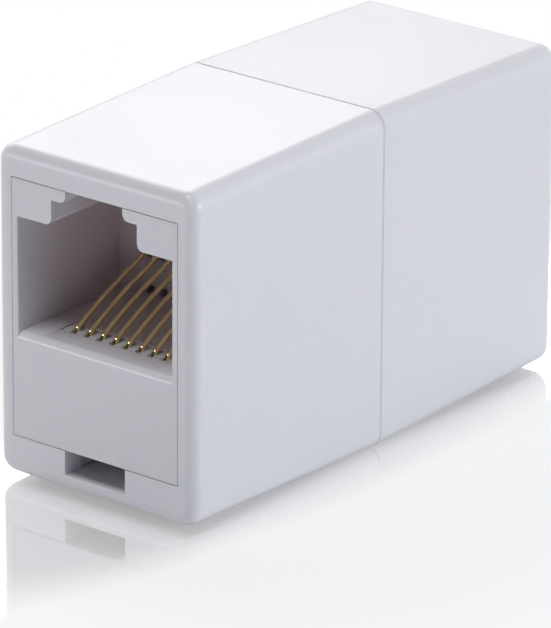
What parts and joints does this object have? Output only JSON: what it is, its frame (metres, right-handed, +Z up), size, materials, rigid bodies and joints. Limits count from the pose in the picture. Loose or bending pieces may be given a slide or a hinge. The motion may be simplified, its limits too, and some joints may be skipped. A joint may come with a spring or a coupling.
{
  "type": "rj45 inline coupler",
  "caption": "White inline coupler that joins two network patch cables end to end: a two-piece drafted shell with an RJ45 socket in each end.",
  "frame": {"origin": "middle of the underside at the seam between the two shells", "axes": "+Z up (plug latches up), Y along the cables with the front port facing -Y, X across"},
  "size_m": [0.0156, 0.0362, 0.0221],
  "materials": {
    "shell_plastic": "smooth white ABS, semi-gloss",
    "insert_plastic": "smooth white ABS, semi-gloss",
    "carrier_plastic": "off-white moulded nylon",
    "gold_wire": "gold-plated phosphor bronze, polished",
    "board": "green solder mask on glass-epoxy",
    "solder": "tin solder, bright"
  },
  "bodies": {
    "root": {"link_board": "board", "front_shell": "shell_plastic", "front_jack_insert": "insert_plastic", "front_contact_carrier": "carrier_plastic", "front_solder_joints": "solder", "front_contact_1": "gold_wire", "front_contact_2": "gold_wire", "front_contact_3": "gold_wire", "front_contact_4": "gold_wire", "front_contact_5": "gold_wire", "front_contact_6": "gold_wire", "front_contact_7": "gold_wire", "front_contact_8": "gold_wire", "rear_shell": "shell_plastic", "rear_jack_insert": "insert_plastic", "rear_contact_carrier": "carrier_plastic", "rear_solder_joints": "solder", "rear_contact_1": "gold_wire", "rear_contact_2": "gold_wire", "rear_contact_3": "gold_wire", "rear_contact_4": "gold_wire", "rear_contact_5": "gold_wire", "rear_contact_6": "gold_wire", "rear_contact_7": "gold_wire", "rear_contact_8": "gold_wire"}
  },
  "joints": []
}
